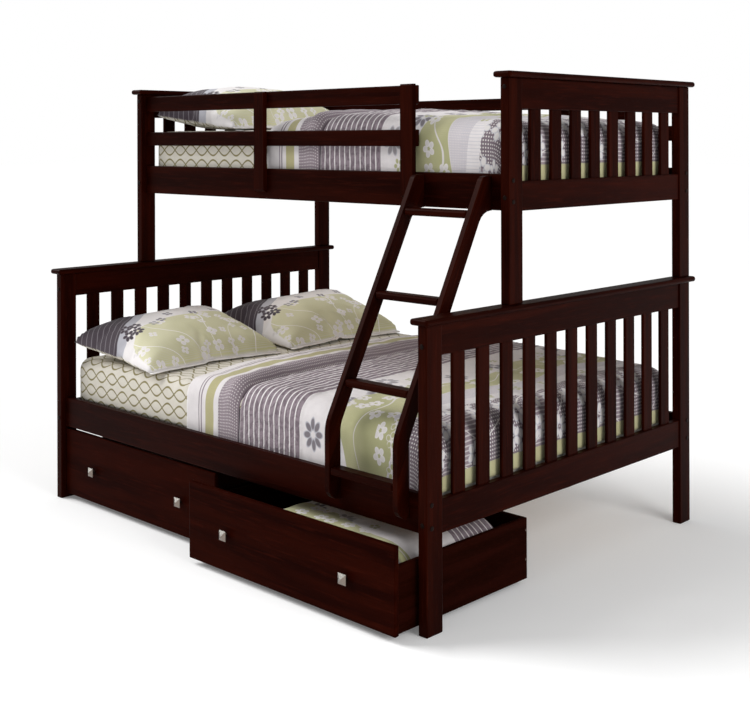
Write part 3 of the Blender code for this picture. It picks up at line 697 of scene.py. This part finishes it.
def studio():
    g = Graph("studio_floor", Roughness=0.95, Specular_IOR_Level=0.1, Emission_Color=(1.0, 1.0, 1.0, 1.0),
              Emission_Strength=FLOOR_GLOW)
    cloudy = g.noise(g.position(), 0.6, 2.0)
    mesh = bpy.data.meshes.new("studio_floor")
    corners = [(x * FLOOR_REACH, y * FLOOR_REACH, 0.0) for x, y in ((-1, -1), (1, -1), (1, 1), (-1, 1))]
    mesh.from_pydata(corners, [], [(0, 1, 2, 3)])
    mesh.materials.append(g.finish(g.mix(cloudy, tone(244, 244, 244), tone(248, 248, 248))))
    add_object("studio_floor", mesh)

    # The sky is white to the camera, and dimmer as a light.
    world = bpy.data.worlds.new("studio")
    world.use_nodes = True
    nodes, links = world.node_tree.nodes, world.node_tree.links
    background = nodes["Background"].inputs
    background["Color"].default_value = (1.0, 1.0, 1.0, 1.0)
    strength = nodes.new("ShaderNodeMapRange")
    strength.inputs["To Min"].default_value = SKY_LIGHT
    links.new(nodes.new("ShaderNodeLightPath").outputs["Is Camera Ray"], strength.inputs["Value"])
    links.new(strength.outputs["Result"], background["Strength"])
    scene.world = world

    key = lamp("key", "SUN", KEY_FROM)
    key.energy, key.angle = KEY_POWER, math.radians(KEY_SPREAD)
    side = lamp("side", "AREA", SIDE_AT)
    side.shape = "RECTANGLE"
    side.size, side.size_y = SIDE_SIZE
    side.energy = SIDE_POWER
    data = bpy.data.cameras.new("view")
    data.lens, data.sensor_width, data.shift_y = CAMERA_LENS, 36, CAMERA_SHIFT
    camera = add_object("view", data)
    camera.location = CAMERA_AT
    camera.rotation_euler = [math.radians(a) for a in (90, CAMERA_ROLL, CAMERA_AZIMUTH)]
    scene.camera = camera
    scene.view_settings.view_transform = "Standard"


# Wood, metal and plastic pieces ----------

def finish_for(name):
    """The material of a CAD node that is shown as it is."""
    seed = random.Random(name).uniform(0.0, 9.0)
    in_drawer = name.startswith("drawer_")
    if name.endswith("_slats"):
        return pine_base(name)
    if "_knob_" in name:
        return nickel()
    if "_wheel_" in name:
        return tyre(name + "_tyre")
    if in_drawer and not name.endswith("_front"):
        return drawer_board()
    if name.endswith("_panel"):
        grain = panel_grain(name)
    elif name == "rear_guard":
        grain = rear_guard_grain
    elif "_stringer_" in name:
        grain = ladder_grain
    elif "_post_" in name or "upright" in name:
        grain = along("Z")
    else:
        grain = along("Y" if name.endswith("_cap") else "X")
    gloss = FRONT_GLOSS if in_drawer else BED_GLOSS
    g = Graph(name + "_finish", Specular_IOR_Level=gloss, Specular_Tint=tone(235, 150, 120))
    return lacquered(g, grain(g), seed)


def dress_frame():
    made = {}
    for name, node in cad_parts.items():
        if any(word in name for word in ("mattress", "quilt", "pillow", "bedding")):
            continue
        key = "knob" if "_knob_" in name else name
        if key not in made:
            made[key] = finish_for(name)
        node.data.materials.clear()
        node.data.materials.append(made[key])


def plug(name, at, axis, material, radius=0.0075, proud=0.0018, body="bed_frame"):
    """A domed cover over a bolt. axis is the direction it faces."""
    sides, rings = 20, ((0.0, 1.0), (0.55, 0.97), (0.85, 0.86), (1.0, 0.62))
    heading = Vector(axis)
    across = heading.orthogonal().normalized()
    up = heading.cross(across)
    points, faces = [], []
    for height, share in rings:
        for k in range(sides):
            angle = 2 * math.pi * k / sides
            offset = (across * math.cos(angle) + up * math.sin(angle)) * radius * share
            points.append(Vector(at) + offset + heading * (proud * height + 0.0004))
    for ring in range(len(rings) - 1):
        for k in range(sides):
            a, b = ring * sides + k, ring * sides + (k + 1) % sides
            faces.append((a, b, b + sides, a + sides))
    faces.append(tuple(range(sides - 1, -1, -1)))
    faces.append(tuple((len(rings) - 1) * sides + k for k in range(sides)))
    return mesh_piece(name, points, faces, material, None, body)


def bolt_covers():
    g = Graph("bolt_cover_finish", Specular_IOR_Level=0.06)
    speck = g.noise(g.position(), 260.0, 2.0)
    material = g.finish(g.mix(speck, tone(12, 4, 2), tone(24, 8, 4)), 0.45, speck, 0.0001)
    for level in ("lower", "upper"):
        for end, side in (("head", -1), ("foot", 1)):
            for where, facing in (("front", -1), ("rear", 1)):
                low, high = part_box(f"{level}_{end}_post_{where}")
                x, y = (low.x + high.x) / 2, low.y if facing < 0 else high.y
                spot = f"{level}_{end}_{where}"
                for index, z in enumerate(POST_BOLTS[level]):
                    plug(f"bolt_cover_{spot}_{index}", (x, y, z), (0, facing, 0), material)
                x, y = low.x if side < 0 else high.x, y - facing * RAIL_BOLT_INSET
                for index, z in enumerate(RAIL_BOLTS[level]):
                    plug(f"rail_bolt_{spot}_{index}", (x, y, z), (side, 0, 0), material)


def box_screws():
    """Two small screws in each side of a drawer box, by its back edge."""
    material = nickel()
    for drawer in ("drawer_left", "drawer_right"):
        low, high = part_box(drawer + "_box")
        for side, x, facing in (("left", low.x, -1), ("right", high.x, 1)):
            for index, share in enumerate(SCREW_SHARES):
                at = (x, high.y - SCREW_INSET, low.z + (high.z - low.z) * share)
                plug(f"{drawer}_screw_{side}_{index}", at, (facing, 0, 0), material, *SCREW_SIZE, drawer)


# Bedding ----------

def soft_block(name, low, high, corner, edge, material):
    """A closed block with round upright corners, and round edges above and below."""
    bm = bmesh.new()
    bmesh.ops.create_cube(bm, size=1.0)
    size, centre = high - low, (high + low) / 2
    for vertex in bm.verts:
        vertex.co = Vector(a * b for a, b in zip(vertex.co, size)) + centre
    for chosen, radius, segments in ((True, corner, 8), (False, edge, 6)):
        edges = [e for e in bm.edges if (abs(e.verts[0].co.z - e.verts[1].co.z) > edge) == chosen]
        if not chosen:
            edges = [e for e in edges if len({round(f.normal.z, 2) for f in e.link_faces}) == 2]
        bmesh.ops.bevel(bm, geom=edges, offset=radius, segments=segments, profile=0.5, affect="EDGES")
        bm.normal_update()
    mesh = bpy.data.meshes.new(name)
    bm.to_mesh(mesh)
    bm.free()
    mesh.materials.append(material)
    mesh.shade_smooth()
    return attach(add_object(name, mesh), "bed_frame")


def piping(name, low, high, z, corner, radius, material):
    """A cord-like edge seam round a mattress."""
    loop, points, faces = [], [], []
    for k in range(28):
        quarter, step = divmod(k, 7)
        angle = math.radians(90 * quarter + 15 * step)
        out = Vector((math.cos(angle), math.sin(angle), 0))
        cx = high.x - corner if quarter in (0, 3) else low.x + corner
        cy = high.y - corner if quarter < 2 else low.y + corner
        loop.append((Vector((cx, cy, z)) + out * corner, out))
    sides = 8
    for middle, out in loop:
        for k in range(sides):
            angle = 2 * math.pi * k / sides
            rise = Vector((0, 0, radius * math.sin(angle)))
            points.append(middle + out * (radius * math.cos(angle)) + rise)
    for a in range(len(loop)):
        b = (a + 1) % len(loop)
        for k in range(sides):
            m = (k + 1) % sides
            faces.append((a * sides + k, b * sides + k, b * sides + m, a * sides + m))
    return mesh_piece(name, points, faces, material)


def mattress(level, cover, trim):
    """The mattress core, with the piping along its lower edge."""
    low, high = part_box(f"{level}_mattress")
    inset = Vector((CORE_INSET, CORE_INSET, 0.0))
    corner = MATTRESS_CORNER - CORE_INSET
    core = soft_block(f"{level}_mattress_core", low + inset, high - inset - Vector((0.0, 0.0, CORE_DROP)),
                      corner, MATTRESS_EDGE, cover)
    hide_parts(f"{level}_mattress")
    tuck = MATTRESS_EDGE * (1 - math.sqrt(0.5))
    inset += Vector((tuck, tuck, 0.0))
    edge = piping(f"{level}_mattress_piping", low + inset, high - inset, low.z + tuck, corner - tuck,
                  PIPING_RADIUS, trim)


def fitted_sheet(level, material):
    low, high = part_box(f"{level}_mattress")
    middle, half = (low + high) / 2, (high - low) / 2

    def lift(x, y):
        across = (y - middle.y) / half.y
        along = (x - middle.x) / half.x
        crown = 0.004 * (1 - across ** 4) * (1 - along ** 4)
        creases = 0.0018 * ripple(x, y * 0.55, 0.10, 3.0) + 0.0010 * ripple(x, y, 0.035, 5.0)
        return crown + abs(creases) * 0.8 - 0.002

    def push(u, v, bent, share):
        return (0.0008 * ripple(u, v, 0.05, 9.0) - 0.0004) * bent

    sheet = wrap(f"{level}_fitted_sheet", (low.x, high.x), (low.y, high.y),
                 (high.z, low.z + MATTRESS_EDGE), MATTRESS_CORNER, lambda x: MATTRESS_EDGE,
                 (0.012, 0.012, 0.011), lift, push, False, material)
    thicken(sheet, SHEET_THICK, 1.0)


QUILT_CREST = {
    "upper": ((-0.205, 0.020), (-0.14, 0.046), (-0.02, 0.060), (0.05, 0.060), (0.088, 0.048), (0.17, 0.064),
              (0.285, 0.068), (0.456, 0.056), (0.66, 0.047), (0.84, 0.030), (0.95, 0.020)),
    "lower": ((-0.205, 0.019), (-0.12, 0.036), (0.04, 0.046), (0.088, 0.036), (0.17, 0.046),
              (0.30, 0.046), (0.456, 0.042), (0.66, 0.038), (0.84, 0.028), (0.95, 0.020)),
}


def quilt(level, material):
    """The quilt, puffed up over the foot two thirds of its mattress and tucked in at the sides."""
    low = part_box(f"{level}_quilt")[0]
    bed_low, bed_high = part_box(f"{level}_mattress")
    middle = (bed_low.y + bed_high.y) / 2
    half = (bed_high.y - bed_low.y) / 2

    def lift(x, y):
        across = (y - middle) / half
        crown = between(QUILT_CREST[level], x) * (1 - 0.42 * across ** 4)
        gathered = between(((SEAM_X, 0.0), (SEAM_X + 0.01, 1.0), (GATHERS_END - 0.01, 1.0),
                            (GATHERS_END + 0.02, 0.0)), x)
        channel = abs(math.sin(math.pi * x / RIB_PITCH)) * 0.0026 * gathered
        pucker = ripple(x * 1.5, y, 0.030, 1.0) * 0.0018 * gathered
        soft = 0.0050 * ripple(x * 0.8, y * 1.5, 0.17, 2.0) + 0.0026 * ripple(x, y * 1.3, 0.065, 4.0)
        roll = 0.017 * math.exp(-((x - 0.040) / 0.032) ** 2)
        seam = -0.020 * math.exp(-((x - SEAM_X) / 0.011) ** 2)
        calm = min(1.0, (x - QUILT_EDGE) / 0.03)
        return max(0.004, crown + channel + pucker + (soft + roll + seam) * calm)

    def push(u, v, bent, share):
        seam = 0.007 * math.exp(-((u - 0.045) / 0.030) ** 2) - 0.010 * math.exp(-((u - SEAM_X) / 0.010) ** 2)
        fold = 0.0035 * ripple(u * 1.6, v * 0.7, 0.075, 6.0) * (1 - share)
        return bent * ((seam + fold) * (1 - share) + 0.0010 * ripple(u * 2.0, v, 0.05, 7.0))

    def shoulder(x):
        return between(((QUILT_EDGE, 0.052), (-0.08, 0.066)), x)

    shell = 0.0022
    made = wrap(f"{level}_quilt_cover", (QUILT_EDGE, bed_high.x + shell),
                (bed_low.y - shell, bed_high.y + shell), (bed_high.z, low.z + 0.004), QUILT_CORNER,
                shoulder, (0.0056, 0.0095, 0.0085), lift, push, True, material)
    for vertex in made.data.vertices:
        inside = min(vertex.co.y - bed_low.y, bed_high.y - vertex.co.y) / half
        share = max(0.0, (SEAM_X - vertex.co.x) / (SEAM_X - QUILT_EDGE))
        vertex.co.x -= QUILT_REACH * share * between(((0.0, 0.0), (0.58, 1.0)), inside)
    thicken(made, QUILT_THICK, 1.0)
    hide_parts(f"{level}_quilt")


def bag_points(half_u, half_v, columns, rows):
    """A flat closed bag: two grids that share their rim. Gives its cloth coordinates and lower edge too."""
    points, flat, faces, index = [], [], [], {}
    for side in (0, 1):
        for i in range(columns + 1):
            for j in range(rows + 1):
                on_rim = i in (0, columns) or j in (0, rows)
                if side and on_rim:
                    index[side, i, j] = index[0, i, j]
                    continue
                u = half_u * (2 * i / columns - 1)
                v = half_v * (2 * j / rows - 1)
                points.append(Vector((u, v, 0.004 * (1 - 2 * side) * (not on_rim))))
                flat.append((u, v, float(side)))
                index[side, i, j] = len(points) - 1
    for side in (0, 1):
        for i in range(columns):
            for j in range(rows):
                face = [index[side, a, b] for a, b in ((i, j), (i + 1, j), (i + 1, j + 1), (i, j + 1))]
                faces.append(tuple(face if side == 0 else face[::-1]))
    return points, faces, flat, [index[0, i, 0] for i in range(columns + 1)]


def inflate(piece):
    """Blows the bag up as cloth, in mid air, and keeps the shape that it reaches."""
    cloth = piece.modifiers.new("Inflate", "CLOTH")
    for key, value in INFLATE.items():
        setattr(cloth.settings, key, value)
    cloth.settings.effector_weights.gravity = 0.0
    cloth.collision_settings.use_collision = False
    cloth.point_cache.frame_start, cloth.point_cache.frame_end = 1, INFLATE_FRAMES
    for current in range(1, INFLATE_FRAMES + 1):
        scene.frame_set(current)
    settle(piece)
    scene.frame_set(1)


def pillow(name, seed, material):
    """A stuffed sham, propped up at its head end, with a plain flat border along its lower edge."""
    low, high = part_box(name)
    half_u, half_v = (high.y - low.y) / 2 - 0.0025, SHAM_HALF[1]
    points, faces, flat, edge = bag_points(half_u, half_v, 54, 42)
    rng = random.Random(seed)
    for point in points:
        point.z += rng.uniform(-0.0004, 0.0004)
    printed = [(u * SHAM_HALF[0] / half_u, v, side) for u, v, side in flat]
    made = mesh_piece(name + "_sham", points, faces, material, printed)
    made.parent = None
    inflate(made)
    span = [max(abs(vertex.co[axis]) for vertex in made.data.vertices) for axis in range(3)]
    grow = (half_u / span[0], half_v / span[1], 1 / span[2])
    for vertex, (u, v, _) in zip(made.data.vertices, flat):
        out = Vector(a * b for a, b in zip(vertex.co, grow))
        fuller = -0.44 - 0.10 * u / half_u
        full = out.z * (abs(out.z) + 0.05) ** fuller
        vertex.co = (0.55 * out.x + 0.45 * u, 0.55 * out.y + 0.45 * v, full)
    middle, floor = (low + high) / 2, low.z + 0.0012
    cosine, sine = math.cos(PILLOW_TILT), math.sin(PILLOW_TILT)
    plump, narrow = PILLOWS[name]
    soft = 0.016  # how soon the underside flattens on the sheet
    for vertex in made.data.vertices:
        u, v, w = vertex.co
        w *= plump * (1 + 0.14 * v / half_v) if w > 0 else 0.046
        w += 0.004 * ripple(u, v, 0.16, seed) + 0.0016 * ripple(u * 0.7, v * 1.8, 0.06, seed + 3.0)
        x = middle.x + 0.006 - v * cosine - w * sine
        y = middle.y + u - narrow * max(0.0, u) / half_u * (0.5 - 0.5 * v / half_v)
        z = floor + 0.038 + v * sine + w * cosine
        z += PILLOW_PROP * between(((-0.1, 0.0), (0.33, 1.0)), u) * between(((-0.25, 0.0), (0.10, 1.0)), v)
        if z < floor + soft:
            z = floor + soft * math.exp((z - floor - soft) / soft)
        vertex.co = (x, y, z)
    made.data.update()
    add_border(made, edge, printed, seed, floor)
    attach(made, "bed_frame")
    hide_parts(name)


def add_border(piece, edge, flat, seed, floor):
    """A flat double strip sewn along the lower edge of a sham."""
    bm = bmesh.new()
    bm.from_mesh(piece.data)
    bm.verts.ensure_lookup_table()
    layer = bm.verts.layers.float_vector[CLOTH]
    starts = [bm.verts[index].co.copy() for index in edge]
    rows = []
    reaches = (-0.004, 0.006, 0.013, 0.020)
    for level, lift in ((0, 0.0010), (1, -0.0010)):
        for reach in reaches if level == 0 else reaches[::-1]:
            row = []
            for index, start in zip(edge, starts):
                u, v, _ = flat[index]
                taper = min(1.0, (1.0 - abs(u) / SHAM_HALF[0]) / 0.04)
                out = max(0.0, reach)
                wave = 0.003 * (1 + ripple(u * 1.3, v, 0.09, seed + 4.0)) * out / 0.02
                at = start + Vector((reach * (0.4 + 0.6 * taper), 0, lift + wave - 0.30 * out))
                at.z = max(at.z, floor + 0.0006 + lift)
                vertex = bm.verts.new(at)
                vertex[layer] = (u, v - reach, float(level))
                row.append(vertex)
            rows.append(row)
    for row, after in zip(rows, rows[1:] + rows[:1]):
        for k in range(len(row) - 1):
            bm.faces.new((row[k], row[k + 1], after[k + 1], after[k]))
    bm.faces.new([row[0] for row in rows])
    bm.faces.new([row[-1] for row in rows[::-1]])
    bmesh.ops.recalc_face_normals(bm, faces=bm.faces)
    bm.to_mesh(piece.data)
    bm.free()
    piece.data.shade_smooth()


def stored_quilt(material):
    """The spare quilt, folded in four, in the open drawer."""
    low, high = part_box("stored_bedding")
    layers, columns = FOLDED_LAYERS, 80
    length, width = high.y - low.y - 0.02, high.x - low.x - 0.01
    pitch = (high.z - low.z - 0.022) / (layers - 1)
    path = []
    turn = pitch / 2
    start, end = low.y + 0.01 + turn, high.y - 0.01 - turn
    run = 0.0
    for layer in range(layers):
        z = low.z + 0.011 + layer * pitch
        ways = (start, end) if layer % 2 == 0 else (end, start)
        for k in range(31):
            path.append((ways[0] + (ways[1] - ways[0]) * k / 30, z, run + length * k / 30))
        run += length
        if layer < layers - 1:
            facing = 1 if layer % 2 == 0 else -1
            for k in range(1, 8):
                angle = math.pi * k / 8
                path.append((ways[1] + facing * turn * math.sin(angle), z + turn * (1 - math.cos(angle)),
                             run + math.pi * turn * k / 8))
            run += math.pi * turn
    points, flat, faces = [], [], []
    for i in range(columns + 1):
        x = low.x + 0.005 + width * i / columns
        for y, z, s in path:
            rise = (z - low.z) / (high.z - low.z)
            from_end = min(x - low.x, high.x - x) / 0.11
            sag = (z - low.z) * 0.5 * (1 - math.sqrt(1 - max(0.0, 1 - from_end) ** 2))
            bump = (0.004 * ripple(x, s, 0.07, 8.0) + 0.006 * ripple(x, y, 0.19, 2.0)) * rise
            points.append(Vector((x, y + 0.002 * ripple(x, z, 0.05, 3.0), z - sag + bump)))
            flat.append((0.665 - (run - s), x - low.x + 0.21, 0.0))
    count = len(path)
    for a in range(columns * count):
        if (a + 1) % count:
            faces.append((a, a + count, a + count + 1, a + 1))
    made = mesh_piece("stored_quilt", points, faces, material, flat, "drawer_right")
    thicken(made, FOLDED_THICK, 0.0)
    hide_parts("stored_bedding")


def bedding():
    cover, trim = ticking(), piping_cloth()
    sheet, quilted, sham = sheet_print(), quilt_cover(), pillow_print()
    for level in ("lower", "upper"):
        mattress(level, cover, trim)
        fitted_sheet(level, sheet)
        quilt(level, quilted)
    for seed, name in enumerate(PILLOWS, 1):
        pillow(name, seed, sham)
    stored_quilt(quilted)


studio()
dress_frame()
bolt_covers()
box_screws()
bedding()
